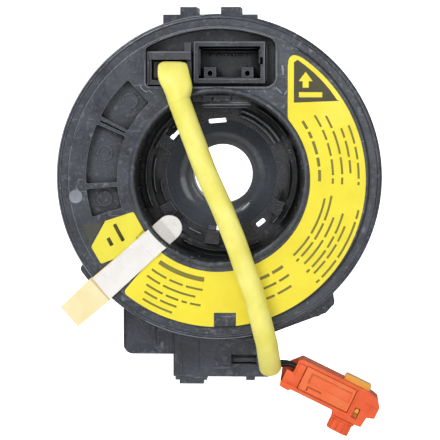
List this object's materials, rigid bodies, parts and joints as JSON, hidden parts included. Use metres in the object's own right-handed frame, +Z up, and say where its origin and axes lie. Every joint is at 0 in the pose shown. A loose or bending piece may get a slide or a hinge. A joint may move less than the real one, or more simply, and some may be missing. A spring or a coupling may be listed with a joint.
{
  "type": "steering clock spring",
  "caption": "Steering column clock spring: black rotary cable unit with a yellow face label, a connector block, a lock strip and a sleeved lead to an orange squib plug.",
  "frame": {"origin": "on the steering axis, in the rear seat of the case, where it meets the steering column", "axes": "+Y along the steering axis towards the column, -Y towards the steering wheel and the viewer, +X right seen from the wheel, +Z up, with the bracket below"},
  "size_m": [0.106, 0.0513, 0.1408],
  "materials": {
    "black_shell": "satin moulded",
    "grey_shell": "satin moulded",
    "yellow_shell": "satin moulded",
    "orange_shell": "satin moulded",
    "lock_yellow": "gloss moulded",
    "yellow_label": "printed film",
    "white_label": "printed film",
    "cream_label": "adhesive film",
    "clear_film": "translucent film",
    "slip_film": "translucent film",
    "cable_film": "laminated film",
    "yellow_sleeve": "soft vinyl",
    "wire_insulation": "vinyl",
    "contact_metal": "tinned"
  },
  "bodies": {
    "stator": {"stator_case": "black_shell", "bracket_cover": "black_shell", "harness_header": "grey_shell", "harness_pins": "contact_metal", "airbag_header": "yellow_shell", "airbag_pins": "contact_metal", "outer_lead_block": "grey_shell", "flat_cable": "cable_film", "rear_slip_sheet": "slip_film"},
    "rotor": {"rotor_disc": "black_shell", "connector_block": "black_shell", "switch_pins": "contact_metal", "rotor_hub": "grey_shell", "cancel_cam": "grey_shell", "cable_plate": "black_shell", "front_slip_sheet": "slip_film", "inner_lead_block": "grey_shell", "ring_label": "yellow_label", "code_label": "white_label", "lock_strip": "clear_film", "strip_tab": "cream_label", "lead_plug": "yellow_shell", "plug_retainer": "grey_shell", "sleeve_flare": "yellow_sleeve", "lead_sleeve": "yellow_sleeve", "lead_wire_a": "wire_insulation", "lead_wire_b": "wire_insulation", "squib_plug": "orange_shell", "squib_contacts": "contact_metal", "squib_plug_cover": "orange_shell"},
    "lock_bar": {"squib_lock": "lock_yellow"}
  },
  "joints": [
    {"name": "rotor_spin", "type": "hinge", "parent": "stator", "child": "rotor", "pos_m": [0, 0, 0], "axis": [0, 1, 0], "range_deg": [-900, 900], "deforming": ["flat_cable"]},
    {"name": "squib_lock_press", "type": "slide", "parent": "rotor", "child": "lock_bar", "axis": [-0.4384, 0, -0.8988], "range_m": [0, 0.0018]}
  ]
}
